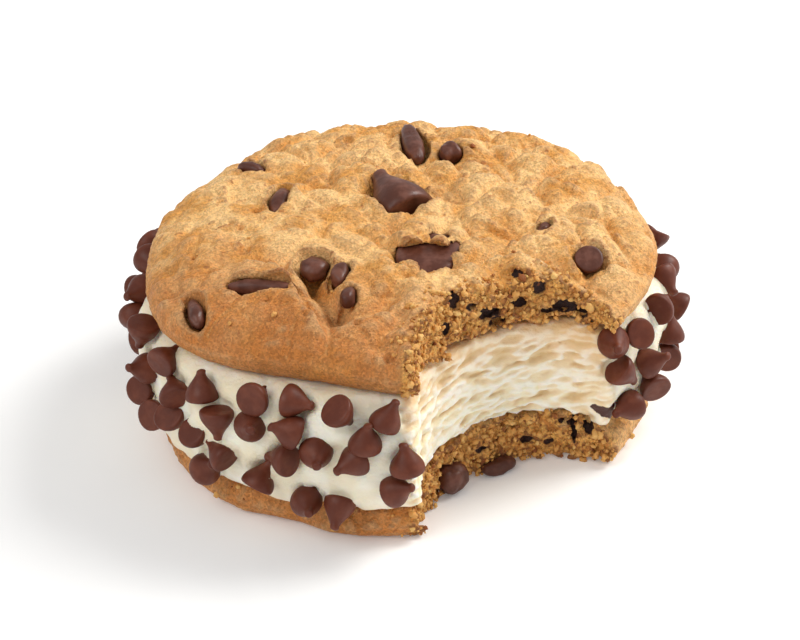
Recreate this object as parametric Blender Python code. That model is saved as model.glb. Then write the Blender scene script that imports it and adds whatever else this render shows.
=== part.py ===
"""A chocolate chip cookie ice cream sandwich with one bite taken out of its front right.

Three layers lie on each other: a domed cookie, a thick barrel of vanilla ice cream and a
second, slightly larger cookie. Small chocolate chips are pressed into the ice cream's side,
and larger chips and chunks are baked into both cookies. Lengths are written in millimetres
and become metres as each mesh is made. The origin is on the floor, under the ice cream.
"""

import math

import bmesh
import bpy
from mathutils import Euler, Matrix, Vector, noise

MM = 0.001
GAP = 0.3  # clearance between pieces that touch, in mm
SEGMENTS = 50  # points in each ring of the three layers

# Both cookies share one form: a flat underside, a rounded edge and a low dome.
# lobes are (azimuth in degrees, width in degrees, how far the edge moves out in mm), and
# fullness are (azimuth, width, power): a higher power keeps the dome flat nearer to the edge.
TOP_COOKIE = {
    "centre": (0.4, 1.0),
    "radius": 42.3,
    "under": 25.5,
    "waist": 28.7,
    "crown": 36.2,
    "lobes": (
        (178, 18, -1.0),
        (-146, 17, 1.5),
        (-122, 12, -0.7),
        (-108, 14, -2.0),
        (-88, 10, 0.9),
        (148, 14, -1.5),
        (116, 12, 1.6),
        (20, 20, -0.8),
    ),
    "fullness": ((-35, 32, -2.8), (180, 40, -1.2), (90, 60, 0.6)),
    "seed": (3.1, 7.7, 0.0),
}
BOTTOM_COOKIE = {
    "centre": (-0.4, -1.0),
    "radius": 40.4,
    "under": 0.0,
    "waist": 2.8,
    "crown": 9.4,
    "lobes": (
        (-140, 14, 0.5),
        (-131, 8, 0.5),
        (-118, 7, -1.3),
        (-102, 14, 0.6),
        (-28, 12, 0.2),
        (-5, 12, 1.3),
        (130, 25, 0.8),
    ),
    "fullness": (),
    "seed": (11.4, 2.3, 5.0),
}
DOME_POWER = 4.8
DOME_ROUNDNESS = 0.5
UPPER_RINGS = (0.16, 0.33, 0.49, 0.63, 0.75, 0.85, 0.925, 0.975)  # shares of the radius
LOWER_EDGE_TURNS = (0, 35, 70, 90)  # degrees round the lower half of a cookie's edge
LOWER_EDGE_DEPTH = 2.6  # how far the underside is set in from the widest ring
RELIEF_DEPTH = 0.75
RELIEF_PITCH = 11.0

# The ice cream's side above its lip, as (radius, height), up to the edge of its flat top.
ICE_SIDE = ((42.9, 8.2), (43.5, 12.5), (43.6, 17.5), (43.3, 21.5), (42.2, 24.1), (39.6, 25.2))
LIP_OVERHANG = 0.9  # how far the lip reaches past the lower cookie's edge
LIP_HEIGHT = 5.4
LIP_LIFT = 0.45  # clearance over the cookie just inside the lip
# Where the lip sags or draws back: (azimuth, width, drop in mm).
LIP_WAVES = (
    (-108, 10, 1.5),
    (-142, 9, -0.9),
    (-129, 9, -1.3),
    (-90, 7, -2.4),
    (-22, 14, -2.6),
    (60, 18, 0.9),
    (150, 16, 0.9),
)
# Where the lip is drawn in from the lower cookie's edge: (azimuth, width, size in mm).
LIP_REACH = ((-20, 16, -1.3), (-130, 9, -0.6))
# Where the side swells, and where the bite has pressed it in: (azimuth, width, size in mm).
SIDE_SWELLS = (
    (-128, 16, 0.5),
    (-100, 9, 0.4),
    (-168, 10, 0.5),
    (-36, 12, -3.6),
    (178, 16, -1.2),
    (70, 30, 0.5),
)

# The bite in plan: a smooth line through these corners, from its left lip, across its
# back, to its right lip. Its ends lie in front of the sandwich.
BITE_LINE = (
    (1.8, -56.0),
    (2.1, -40.0),
    (3.7, -33.2),
    (8.3, -27.0),
    (14.3, -22.6),
    (21.5, -20.3),
    (28.0, -20.7),
    (31.8, -23.4),
    (33.8, -28.5),
    (34.6, -38.0),
    (35.0, -56.0),
)
BITE_STEPS = 5  # points along each stretch of the line
TOOTH_PITCH = 7.5  # mm along the line
TOOTH_DEPTH = 0.5

# A small chip is a drop: a flat round base, a rounded foot and a tip.
DROP_PROFILE = ((0.0, 0.90), (0.22, 1.0), (0.62, 0.60), (1.0, 0.0))  # shares of height, radius
SMALL_DROP = (5.1, 2.55)  # height and radius in mm
DROP_SIDES = 7
STAND_OUT = 0.9  # how far a lying chip's middle stands out of the ice cream
STAND_OUT_BY_LIFT = 1.2

# The chips on the ice cream's side: (azimuth, height of its middle, turn, lift). Azimuth is
# counted from +X. turn is where the tip points in the plane of the side, 0 to the right and
# 90 up as seen from outside; lift tips it outwards, to 90 straight out and -90 straight in.
SIDE_CHIPS = (
    (167, 23.5, 0, -40),
    (180, 23.2, 15, 40),
    (-176.5, 19, -10, -5),
    (-160.5, 23.4, -100, 10),
    (-157.5, 19, 50, 60),
    (-149.5, 23.5, 160, -65),
    (-161, 13.3, -150, -50),
    (-154.6, 11.2, -145, -60),
    (-145, 14, -105, -40),
    (-144.5, 20.2, 158, -25),
    (-135.5, 23.5, 100, -8),
    (-136.8, 13.6, -95, -38),
    (-129.5, 18.5, -85, 8),
    (-130.6, 13.6, 162, -10),
    (-133.5, 9.6, 42, 12),
    (-121.5, 24.2, -115, -80),
    (-111.5, 24.6, 0, 6),
    (-121, 20.5, 40, 55),
    (-114.2, 21.3, 145, 30),
    (-102, 23.6, -60, -28),
    (-97.5, 21.6, 83, 4),
    (-92.8, 24.3, 63, -3),
    (-116, 15.5, -172, -16),
    (-120, 11.6, 72, -35),
    (-107, 17.4, -5, 70),
    (-101.3, 16.8, -172, 48),
    (-110, 7.8, 10, 65),
    (-104, 7, -98, 50),
    (-90, 17.6, 93, -2),
    (-91, 12.2, 36, 34),
    (-35.8, 23.4, 160, 43),
    (-26.8, 22.2, -37, -45),
    (-14.5, 23, 0, 10),
    (-32, 16.7, -50, 26),
    (-23.3, 16.4, 95, 60),
    (-21, 11.4, 20, -40),
    (-10, 17.2, 82, 0),
    (-31, 9.8, 175, -15),
    (4, 20.8, 180, -15),
    (88, 15.0, 30, 25),
    (48, 12.0, 70, 20),
)

# The chips and chunks baked into the cookies: (cookie, x, y, sizes along, across and up,
# heading, how deep its middle lies under the cookie's surface). Headings are from +X.
BAKED_CHIPS = (
    ("top", 1.0, 6.3, (10.5, 9.0, 5.4), 128, 1.3),
    ("top", 4.6, -13.6, (10.5, 5.0, 4.4), -8, 1.0),
    ("top", 4.4, 26.8, (11.0, 4.8, 4.4), -76, 0.9),
    ("top", 9.9, 23.2, (4.6, 4.2, 4.2), 100, 0.8),
    ("top", -24.2, 22.6, (6.4, 3.0, 3.0), -22, 0.7),
    ("top", -19.0, 7.4, (7.6, 3.8, 3.6), 62, 0.9),
    ("top", -13.2, -14.4, (5.2, 5.0, 4.4), 0, 1.3),
    ("top", -8.8, -17.6, (4.6, 3.4, 4.0), 75, 1.2),
    ("top", -20.8, -21.4, (11.0, 2.6, 3.4), -3, 1.0),
    ("top", -31.7, -22.6, (6.6, 3.0, 3.4), -75, 1.1),
    ("top", -8.1, -25.0, (3.8, 2.8, 3.2), 80, 0.8),
    ("top", 30.1, -13.0, (5.2, 4.6, 4.2), 35, 0.9),
    ("top", 23.9, -4.9, (3.6, 2.6, 2.6), 60, 0.7),
    ("bottom", 7.0, -28.0, (5.2, 4.8, 4.4), 40, 6.3),
    ("bottom", 14.8, -23.0, (6.2, 3.4, 2.6), 25, 7.6),
)
CHUNK_SIDES = 9
CHUNK_LEVELS = (-50, -5, 45)  # degrees above a chunk's middle, where its rings lie

MATERIALS = {
    "cookie_top": ((0.55, 0.30, 0.11), 0.75),
    "cookie_base": ((0.45, 0.21, 0.06), 0.75),
    "vanilla_ice_cream": ((0.86, 0.79, 0.62), 0.45),
    "chocolate": ((0.075, 0.022, 0.012), 0.4),
}


def clear_scene():
    for old in list(bpy.data.objects):
        bpy.data.objects.remove(old)


def material(name):
    made = bpy.data.materials.get(name)
    if made is None:
        colour, roughness = MATERIALS[name]
        made = bpy.data.materials.new(name)
        made.use_nodes = True
        shader = made.node_tree.nodes["Principled BSDF"]
        shader.inputs["Base Color"].default_value = (*colour, 1.0)
        shader.inputs["Roughness"].default_value = roughness
        shader.inputs["Metallic"].default_value = 0.0
    return made


def add_object(name, bm, material_name):
    """The bmesh, in mm, becomes an object in metres with its faces pointing out."""
    bmesh.ops.recalc_face_normals(bm, faces=bm.faces)
    bmesh.ops.scale(bm, vec=(MM, MM, MM), verts=bm.verts)
    mesh = bpy.data.meshes.new(name)
    bm.to_mesh(mesh)
    bm.free()
    mesh.materials.append(material(material_name))
    mesh.shade_smooth()
    mesh.set_sharp_from_angle(angle=math.radians(40))
    made = bpy.data.objects.new(name, mesh)
    bpy.context.scene.collection.objects.link(made)
    return made


def new_cutters(name):
    """A collection for pieces that only cut others."""
    cutters = bpy.data.collections.new(name)
    bpy.context.scene.collection.children.link(cutters)
    return cutters


def add_cutter(name, bm, cutters):
    made = add_object(name, bm, "chocolate")
    made.hide_render = True
    made.display_type = "WIRE"
    bpy.context.scene.collection.objects.unlink(made)
    cutters.objects.link(made)


def cut(target, cutters):
    modifier = target.modifiers.new(f"cut by {cutters.name}", "BOOLEAN")
    modifier.operation = "DIFFERENCE"
    modifier.solver = "EXACT"
    modifier.operand_type = "COLLECTION"
    modifier.collection = cutters


def skin(rings):
    """A closed bmesh over rings of points, with a single point at each end."""
    bm = bmesh.new()
    loops = [[bm.verts.new(point) for point in ring] for ring in rings]
    for lower, upper in zip(loops, loops[1:]):
        if len(lower) == 1 or len(upper) == 1:
            pole, loop = (lower[0], upper) if len(lower) == 1 else (upper[0], lower)
            for i, vert in enumerate(loop):
                bm.faces.new((pole, vert, loop[(i + 1) % len(loop)]))
            continue
        for i, vert in enumerate(lower):
            after = (i + 1) % len(lower)
            bm.faces.new((vert, lower[after], upper[after], upper[i]))
    return bm


def bump(azimuth, features):
    """The sum of soft bumps, each (azimuth, width, size), at an azimuth in degrees."""
    total = 0.0
    for centre, width, size in features:
        away = (azimuth - centre + 180) % 360 - 180
        total += size * math.exp(-((away / width) ** 2))
    return total


def around():
    """Azimuths in degrees, evenly round the circle."""
    return [360 * i / SEGMENTS - 180 for i in range(SEGMENTS)]


def polar(azimuth, reach, height, centre=(0.0, 0.0)):
    angle = math.radians(azimuth)
    return (centre[0] + reach * math.cos(angle), centre[1] + reach * math.sin(angle), height)


def edge_radius(cookie, azimuth):
    return cookie["radius"] + bump(azimuth, cookie["lobes"])


def cookie_height(cookie, x, y):
    """Height of a cookie's upper surface: a dome with soft pillows that fade at the edge."""
    dx = x - cookie["centre"][0]
    dy = y - cookie["centre"][1]
    azimuth = math.degrees(math.atan2(dy, dx))
    share = min(1.0, math.hypot(dx, dy) / edge_radius(cookie, azimuth))
    rise = cookie["crown"] - cookie["waist"]
    power = DOME_POWER + bump(azimuth, cookie["fullness"])
    dome = cookie["waist"] + rise * (1 - share**power) ** DOME_ROUNDNESS
    place = Vector((x, y, 0.0)) / RELIEF_PITCH + Vector(cookie["seed"])
    swell = noise.noise(place) + 0.5 * noise.noise(place * 2.1)
    return dome + RELIEF_DEPTH * swell * (1 - share**4)


def dome_ring(cookie, share, lift=0.0):
    """One ring on a cookie's upper surface, at a share of its radius, raised by lift."""
    ring = []
    for azimuth in around():
        x, y, _ = polar(azimuth, share * edge_radius(cookie, azimuth), 0, cookie["centre"])
        ring.append((x, y, cookie_height(cookie, x, y) + lift))
    return ring


def dome_middle(cookie, lift=0.0):
    x, y = cookie["centre"]
    return [(x, y, cookie_height(cookie, x, y) + lift)]


def cookie_rings(cookie):
    """Rings from the middle of the top, over the edge, to the middle of the underside."""
    rings = [dome_middle(cookie)]
    rings += [dome_ring(cookie, share) for share in UPPER_RINGS]
    drop = cookie["waist"] - cookie["under"]
    for turn in map(math.radians, LOWER_EDGE_TURNS):
        inset = LOWER_EDGE_DEPTH * (1 - math.cos(turn))
        height = cookie["waist"] - drop * math.sin(turn)
        rings.append(
            [polar(a, edge_radius(cookie, a) - inset, height, cookie["centre"]) for a in around()]
        )
    rings.append([(*cookie["centre"], cookie["under"])])
    return rings


def ice_rings():
    """The ice cream, from the middle of its underside, which lies on the lower cookie's
    dome, out to its lip, up its side and in to the middle of its flat top."""
    rings = [dome_middle(BOTTOM_COOKIE, GAP)]
    rings += [dome_ring(BOTTOM_COOKIE, share, GAP) for share in UPPER_RINGS[:-1]]
    rings.append(dome_ring(BOTTOM_COOKIE, UPPER_RINGS[-1], LIP_LIFT))
    lip = []
    for azimuth in around():
        reach = edge_radius(BOTTOM_COOKIE, azimuth) + LIP_OVERHANG + bump(azimuth, LIP_REACH)
        height = LIP_HEIGHT - bump(azimuth, LIP_WAVES)
        lip.append(polar(azimuth, reach, height, BOTTOM_COOKIE["centre"]))
    rings.append(lip)
    top = ICE_SIDE[-1][1]
    for radius, height in ICE_SIDE:
        share_down = (top - height) / (top - LIP_HEIGHT)
        ring = []
        for azimuth in around():
            reach = radius + ice_belly(height) * bump(azimuth, SIDE_SWELLS)
            ring.append(polar(azimuth, reach, height - share_down**4 * bump(azimuth, LIP_WAVES)))
        rings.append(ring)
    rings.append([(0, 0, top)])
    return rings


def ice_belly(height):
    """How much of a swell shows at a height: all of it at mid height, less at the ends."""
    share = (height - LIP_HEIGHT) / (ICE_SIDE[-1][1] - LIP_HEIGHT)
    return 0.7 + 0.3 * math.sin(math.pi * min(max(share, 0.0), 1.0))


def ice_radius(azimuth, height):
    """The side's radius at a height, with its swells."""
    radius = ICE_SIDE[0][0]
    for (r0, z0), (r1, z1) in zip(ICE_SIDE, ICE_SIDE[1:]):
        if height > z0:
            radius = r0 + (min(height, z1) - z0) / (z1 - z0) * (r1 - r0)
    return radius + ice_belly(height) * bump(azimuth, SIDE_SWELLS)


def smooth_line(corners, steps):
    """Points on a Catmull-Rom curve through the corners."""
    points = [Vector(corner) for corner in corners]
    points = [2 * points[0] - points[1], *points, 2 * points[-1] - points[-2]]
    line = []
    for a, b, c, d in zip(points, points[1:], points[2:], points[3:]):
        for step in range(steps):
            t = step / steps
            line.append(
                0.5 * (2 * b + (c - a) * t + (2 * a - 5 * b + 4 * c - d) * t**2)
                + 0.5 * (3 * b - a - 3 * c + d) * t**3
            )
    line.append(points[-2])
    return line


def bite_bmesh(low, high):
    """A prism over the bite's line, with a shallow hollow for each tooth."""
    line = smooth_line(BITE_LINE, BITE_STEPS)
    outline = []
    along = 0.0
    for before, here, after in zip([line[0], *line], line, [*line[1:], line[-1]]):
        along += (here - before).length
        tangent = (after - before).normalized()
        outwards = Vector((-tangent.y, tangent.x))
        hollow = TOOTH_DEPTH * abs(math.sin(math.pi * along / TOOTH_PITCH))
        outline.append(here + hollow * outwards)
    bm = bmesh.new()
    base = bm.faces.new([bm.verts.new((x, y, low)) for x, y in outline])
    raised = bmesh.ops.extrude_face_region(bm, geom=[base])
    lifted = [v for v in raised["geom"] if isinstance(v, bmesh.types.BMVert)]
    bmesh.ops.translate(bm, verts=lifted, vec=(0, 0, high - low))
    return bm


def drop_bmesh(place, tip, grow=0.0):
    """A small chip whose middle is at place and whose tip points along tip."""
    height = SMALL_DROP[0] + 2 * grow
    radius = SMALL_DROP[1] + grow
    rings = [[(0, 0, -height / 2)]]
    for up, out in DROP_PROFILE[:-1]:
        level = (up - 0.5) * height
        turns = [2 * math.pi * i / DROP_SIDES for i in range(DROP_SIDES)]
        rings.append([(radius * out * math.cos(a), radius * out * math.sin(a), level) for a in turns])
    rings.append([(0, 0, height / 2)])
    bm = skin(rings)
    bm.transform(Matrix.Translation(place) @ tip.to_track_quat("Z", "Y").to_matrix().to_4x4())
    return bm


def drop_pose(azimuth, height, turn, lift):
    """Where a side chip's middle is, and which way its tip points."""
    turn, lift = math.radians(turn), math.radians(lift)
    out = Vector(polar(azimuth, 1, 0))
    right = Vector((-out.y, out.x, 0))
    along = math.cos(turn) * right + math.sin(turn) * Vector((0, 0, 1))
    tip = math.sin(lift) * out + math.cos(lift) * along
    reach = ice_radius(azimuth, height) + STAND_OUT + STAND_OUT_BY_LIFT * math.sin(lift)
    return out * reach + Vector((0, 0, height)), tip


def chunk_bmesh(place, sizes, heading, grow=0.0):
    """A chip or chunk half sunk in dough: a flattened round lump, flat underneath."""
    half = [size / 2 + grow for size in sizes]
    turns = [2 * math.pi * i / CHUNK_SIDES for i in range(CHUNK_SIDES)]
    rings = []
    for level in map(math.radians, CHUNK_LEVELS):
        x, y, z = half[0] * math.cos(level), half[1] * math.cos(level), half[2] * math.sin(level)
        rings.append([(x * math.cos(a), y * math.sin(a), z) for a in turns])
    low = half[2] * math.sin(math.radians(CHUNK_LEVELS[0]))
    bm = skin([[(0, 0, low)], *rings, [(0, 0, half[2])]])
    turned = Euler((0, 0, math.radians(heading))).to_matrix().to_4x4()
    bm.transform(Matrix.Translation(place) @ turned)
    return bm


def add_side_chips(ice):
    sockets = new_cutters("sockets")
    for number, pose in enumerate(SIDE_CHIPS, 1):
        place, tip = drop_pose(*pose)
        add_object(f"side_chip_{number:02d}", drop_bmesh(place, tip), "chocolate")
        add_cutter(f"socket_{number:02d}", drop_bmesh(place, tip, GAP), sockets)
    cut(ice, sockets)


def add_baked_chips(top, bottom):
    layers = {"top": (top, TOP_COOKIE), "bottom": (bottom, BOTTOM_COOKIE)}
    pits = {name: new_cutters(f"pits_{name}") for name in layers}
    for number, (layer, x, y, sizes, heading, depth) in enumerate(BAKED_CHIPS, 1):
        place = Vector((x, y, cookie_height(layers[layer][1], x, y) - depth))
        add_object(f"baked_chip_{number:02d}", chunk_bmesh(place, sizes, heading), "chocolate")
        add_cutter(f"pit_{number:02d}", chunk_bmesh(place, sizes, heading, GAP), pits[layer])
    for name, (cookie, _) in layers.items():
        cut(cookie, pits[name])


def main():
    clear_scene()
    top = add_object("top_cookie", skin(cookie_rings(TOP_COOKIE)), "cookie_top")
    bottom = add_object("bottom_cookie", skin(cookie_rings(BOTTOM_COOKIE)), "cookie_base")
    ice = add_object("ice_cream", skin(ice_rings()), "vanilla_ice_cream")
    bite = new_cutters("bite")
    add_cutter("bite_prism", bite_bmesh(-5.0, 45.0), bite)
    for layer in (top, bottom, ice):
        cut(layer, bite)
    add_side_chips(ice)
    add_baked_chips(top, bottom)


main()
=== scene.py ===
"""The looks of a chocolate chip cookie ice cream sandwich with one bite taken out of it.

Each of the three layers is sculpted as a volume: a grid that holds, for each of its points,
the distance to the surface in mm, negative inside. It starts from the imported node, is shaped
by adding to those distances, and is then turned into a mesh. The chocolate chips are turned
or rounded meshes, posed where their nodes lie. Lengths are in mm until a mesh is made.
"""

import itertools
import math

import bmesh
import bpy
import numpy as np
import openvdb
from mathutils import Matrix, Vector
from mathutils.bvhtree import BVHTree


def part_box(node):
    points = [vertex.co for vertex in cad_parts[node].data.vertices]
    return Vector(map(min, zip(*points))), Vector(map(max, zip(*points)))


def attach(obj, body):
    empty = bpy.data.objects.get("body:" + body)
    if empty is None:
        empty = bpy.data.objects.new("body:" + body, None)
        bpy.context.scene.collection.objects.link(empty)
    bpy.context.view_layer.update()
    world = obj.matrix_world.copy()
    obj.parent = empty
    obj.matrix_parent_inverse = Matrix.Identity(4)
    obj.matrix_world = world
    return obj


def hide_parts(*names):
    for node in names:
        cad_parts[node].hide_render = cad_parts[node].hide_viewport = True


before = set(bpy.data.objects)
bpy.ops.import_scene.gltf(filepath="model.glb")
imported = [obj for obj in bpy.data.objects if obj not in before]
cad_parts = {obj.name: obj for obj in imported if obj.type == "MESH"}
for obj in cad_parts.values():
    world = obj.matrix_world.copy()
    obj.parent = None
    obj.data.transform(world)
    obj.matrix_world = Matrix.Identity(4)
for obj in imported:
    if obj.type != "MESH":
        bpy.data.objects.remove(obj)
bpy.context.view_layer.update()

MM = 0.001
BODY = "root"

# ---------------------------------------------------------------- sizes, in mm

VOXELS = {"top_cookie": 0.31, "bottom_cookie": 0.33, "ice_cream": 0.34}
BAND = 14  # voxels each side of a surface within which distances are kept
ROOM = 2.5  # space round a layer in its volume

TOP_WAIST = 28.7  # height of the top cookie's widest ring
BOTTOM_CROWN = 9.4
ICE_TOP = 25.2

# The bite in plan, the same line as the solids are cut along.
# The way the cookies brown towards, the front left, away from the lamps: partly real baking, partly painted
# shade.
TOAST_AND_SHADE_WAY = (math.cos(math.radians(-118)), math.sin(math.radians(-118)))

BITE_LINE = (
    (1.8, -56.0),
    (2.1, -40.0),
    (3.7, -33.2),
    (8.3, -27.0),
    (14.3, -22.6),
    (21.5, -20.3),
    (28.0, -20.7),
    (31.8, -23.4),
    (33.8, -28.5),
    (34.6, -38.0),
    (35.0, -56.0),
)

# ---------------------------------------------------------------- noise

TABLE = 32  # cells along each side of the tables of random numbers, which then repeat


def smooth_noise(points, pitch, seed):
    """Gradient noise, about -1 to 1, with a lump about every pitch mm."""
    rng = np.random.default_rng(seed)
    slopes = rng.normal(size=(TABLE, TABLE, TABLE, 3)).astype(np.float32)
    slopes /= np.linalg.norm(slopes, axis=3, keepdims=True)
    scaled = (points / pitch + TABLE * rng.random(3)).astype(np.float32)
    home = np.floor(scaled).astype(np.int32)
    part = scaled - home
    blend = part**3 * (part * (part * 6 - 15) + 10)
    total = np.zeros(len(points), np.float32)
    for corner in itertools.product((0, 1), repeat=3):
        at = (home + corner) % TABLE
        slope = slopes[at[:, 0], at[:, 1], at[:, 2]]
        weight = np.prod(np.where(corner, blend, 1 - blend), axis=1)
        total += weight * np.einsum("ij,ij->i", part - np.float32(corner), slope)
    return 1.6 * total


def rough_noise(points, pitch, seed, octaves=3):
    """Noise with finer lumps on its lumps."""
    total = sum(smooth_noise(points, pitch / 2**i, seed + i) / 2**i for i in range(octaves))
    return total / (2 - 2 ** (1 - octaves))


def cells(points, pitch, seed):
    """For points among scattered centres about pitch mm apart: the distance to the nearest
    centre, the gap to the second nearest, both in pitches, and a random number per centre."""
    rng = np.random.default_rng(seed)
    jitter = rng.random((TABLE, TABLE, TABLE, 4)).astype(np.float32)
    scaled = (points / pitch + TABLE * rng.random(3)).astype(np.float32)
    home = np.floor(scaled).astype(np.int32)
    first = np.full(len(points), 9.0, np.float32)
    second = first.copy()
    label = np.zeros(len(points), np.float32)
    for step in itertools.product((-1, 0, 1), repeat=3):
        cell = home + step
        at = cell % TABLE
        found = jitter[at[:, 0], at[:, 1], at[:, 2]]
        away = np.linalg.norm(cell + found[:, :3] - scaled, axis=1)
        nearer = away < first
        second = np.where(nearer, first, np.minimum(second, away))
        label = np.where(nearer, found[:, 3], label)
        first = np.minimum(first, away)
    return first, second - first, label


def step_up(value, low, high):
    """0 below low, 1 above high and smooth between."""
    share = np.clip((value - low) / (high - low), 0, 1)
    return share * share * (3 - 2 * share)


def soft_min(a, b, reach):
    """The smaller of two distances, with a fillet about reach mm wide where they meet."""
    share = np.clip(0.5 + 0.5 * (b - a) / reach, 0, 1)
    return b + (a - b) * share - reach * share * (1 - share)


# ---------------------------------------------------------------- meshes and volumes


def surface_of(names):
    """The triangles of CAD nodes as one set of points, in mm, and faces."""
    points, faces, count = [], [], 0
    for name in names:
        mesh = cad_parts[name].data
        mesh.calc_loop_triangles()
        found = np.empty(3 * len(mesh.vertices), np.float32)
        mesh.vertices.foreach_get("co", found)
        corners = np.empty(3 * len(mesh.loop_triangles), np.int32)
        mesh.loop_triangles.foreach_get("vertices", corners)
        place, index = np.unique(found.reshape(-1, 3).round(7), axis=0, return_inverse=True)
        points.append(place / MM)
        faces.append(index.reshape(-1)[corners].reshape(-1, 3) + count)
        count += len(place)
    return np.concatenate(points), np.concatenate(faces)


def joined(shapes):
    """Several (points, faces) as one."""
    counts = np.cumsum([0] + [len(points) for points, _ in shapes])
    faces = [f + start for (_, f), start in zip(shapes, counts)]
    return np.concatenate([points for points, _ in shapes]), np.concatenate(faces)


def new_object(name, points, faces, material, layers=None):
    """An object from points in mm and faces of three or four corners; layers are named
    numbers per point, which its material reads."""
    mesh = bpy.data.meshes.new(name)
    mesh.from_pydata((points * MM).tolist(), [], faces.tolist())
    for layer, values in (layers or {}).items():
        attribute = mesh.attributes.new(layer, "FLOAT", "POINT")
        attribute.data.foreach_set("value", np.ascontiguousarray(values, np.float32))
    mesh.materials.append(material)
    mesh.shade_smooth()
    made = bpy.data.objects.new(name, mesh)
    bpy.context.scene.collection.objects.link(made)
    return made


def normals_of(points, faces):
    """Unit normals of a mesh's points."""
    across = np.cross(points[faces[:, 2]] - points[faces[:, 0]], points[faces[:, -1]] - points[faces[:, 1]])
    total = np.zeros_like(points)
    for corner in range(faces.shape[1]):
        for axis in range(3):
            total[:, axis] += np.bincount(faces[:, corner], across[:, axis], len(points))
    return total / np.maximum(np.linalg.norm(total, axis=1, keepdims=True), 1e-9)


def smoothed(values, faces, rounds):
    """Numbers per point, averaged with their neighbours' again and again."""
    ends = np.concatenate([faces, np.roll(faces, 1, axis=1)], axis=0).reshape(-1)
    others = np.concatenate([np.roll(faces, 1, axis=1), faces], axis=0).reshape(-1)
    count = np.bincount(ends, minlength=len(values))
    values = values.astype(np.float64)
    for _ in range(rounds):
        columns = [np.bincount(ends, column[others], len(values)) / count for column in values.T]
        values = 0.3 * values + 0.7 * np.stack(columns, axis=1)
    return values


def hollowness(points, faces, normals, rounds):
    """How far each point lies below its smoothed surroundings, in mm: positive in hollows."""
    return np.einsum("ij,ij->i", smoothed(points, faces, rounds) - points, normals)


def largest_body(points, faces):
    """The mesh without the small bodies that come loose from it."""
    label = np.arange(len(points))
    while True:
        lowest = label[faces].min(axis=1)
        spread = label.copy()
        np.minimum.at(spread, faces.reshape(-1), np.repeat(lowest, faces.shape[1]))
        spread = spread[spread]
        if (spread == label).all():
            break
        label = spread
    keep = label == np.bincount(label).argmax()
    index = np.cumsum(keep) - 1
    return points[keep], index[faces[keep[faces[:, 0]]]]


class Volume:
    """A grid of points round a layer. Distances on it are arrays of its shape."""

    def __init__(self, name, points):
        self.voxel = VOXELS[name]
        self.transform = openvdb.createLinearTransform(voxelSize=self.voxel)
        self.low = np.floor((points.min(axis=0) - ROOM) / self.voxel).astype(int)
        high = np.ceil((points.max(axis=0) + ROOM) / self.voxel).astype(int)
        self.shape = tuple(int(n) for n in high - self.low + 1)

    def distances(self, points, faces):
        """Distance to a closed surface, cut off at BAND voxels."""
        kind = "triangles" if faces.shape[1] == 3 else "quads"
        grid = openvdb.FloatGrid.createLevelSetFromPolygons(
            points.astype(np.float32),
            transform=self.transform,
            halfWidth=float(BAND),
            **{kind: faces.astype(np.uint32)},
        )
        found = np.empty(self.shape, np.float32)
        grid.copyToArray(found, ijk=tuple(int(n) for n in self.low))
        return found

    def places(self, mask):
        """Where the grid points that mask picks are, in mm."""
        return ((np.argwhere(mask) + self.low) * self.voxel).astype(np.float32)

    def heights(self):
        return ((np.arange(self.shape[2]) + self.low[2]) * self.voxel).astype(np.float32)

    def plan(self):
        """The places of the grid's columns, as points at height 0."""
        x, y = np.meshgrid(np.arange(self.shape[0]), np.arange(self.shape[1]), indexing="ij")
        flat = np.stack([x.ravel() + self.low[0], y.ravel() + self.low[1], 0 * x.ravel()], axis=1)
        return (flat * self.voxel).astype(np.float32)

    def sample(self, values, places):
        """Values at the grid points nearest to places."""
        at = np.rint(places / self.voxel).astype(int) - self.low
        at = np.clip(at, 0, np.array(self.shape) - 1)
        return values[at[:, 0], at[:, 1], at[:, 2]]

    def skin(self, distance):
        """The mesh of the surface, as points and faces of four corners."""
        grid = openvdb.FloatGrid(background=float(BAND * self.voxel))
        grid.copyFromArray(np.ascontiguousarray(distance), ijk=tuple(int(n) for n in self.low))
        grid.transform = self.transform
        points, quads = grid.convertToQuads(isovalue=0.0)
        return largest_body(points.astype(np.float64), quads[:, ::-1].astype(np.int64))

    def rounded(self, distance, radius):
        """The same solid with its outward edges rounded to a radius in mm."""
        return self.distances(*self.skin(distance + radius)) - radius


def add_relief(space, distance, depth, reach):
    """Moves a surface out by depth(places) mm, which is never more than reach."""
    near = np.abs(distance) < reach + 2 * space.voxel
    places = space.places(near)
    distance[near] -= depth(places)


def thin_out(made, hidden, share):
    """Merges faces where nobody sees them: hidden is 1 there, and share is what stays."""
    group = made.vertex_groups.new(name="hidden")
    group.add(np.flatnonzero(hidden).tolist(), 1.0, "REPLACE")
    modifier = made.modifiers.new("fewer hidden faces", "DECIMATE")
    modifier.vertex_group = group.name
    modifier.ratio = 1 - (1 - share) * float(np.mean(hidden))
    view = bpy.context.evaluated_depsgraph_get()
    mesh = bpy.data.meshes.new_from_object(made.evaluated_get(view))
    made.modifiers.clear()
    made.vertex_groups.clear()
    made.data = mesh
    mesh.name = made.name


# ---------------------------------------------------------------- lines in plan


def smooth_line(corners, steps=5):
    """Points on a Catmull-Rom curve through the corners."""
    points = np.array(corners, float)
    points = np.vstack([2 * points[0] - points[1], points, 2 * points[-1] - points[-2]])
    line = []
    for a, b, c, d in zip(points, points[1:], points[2:], points[3:]):
        for t in np.arange(steps) / steps:
            line.append(
                0.5 * (2 * b + (c - a) * t + (2 * a - 5 * b + 4 * c - d) * t**2)
                + 0.5 * (3 * b - a - 3 * c + d) * t**3
            )
    return np.array([*line, points[-2]])


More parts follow.
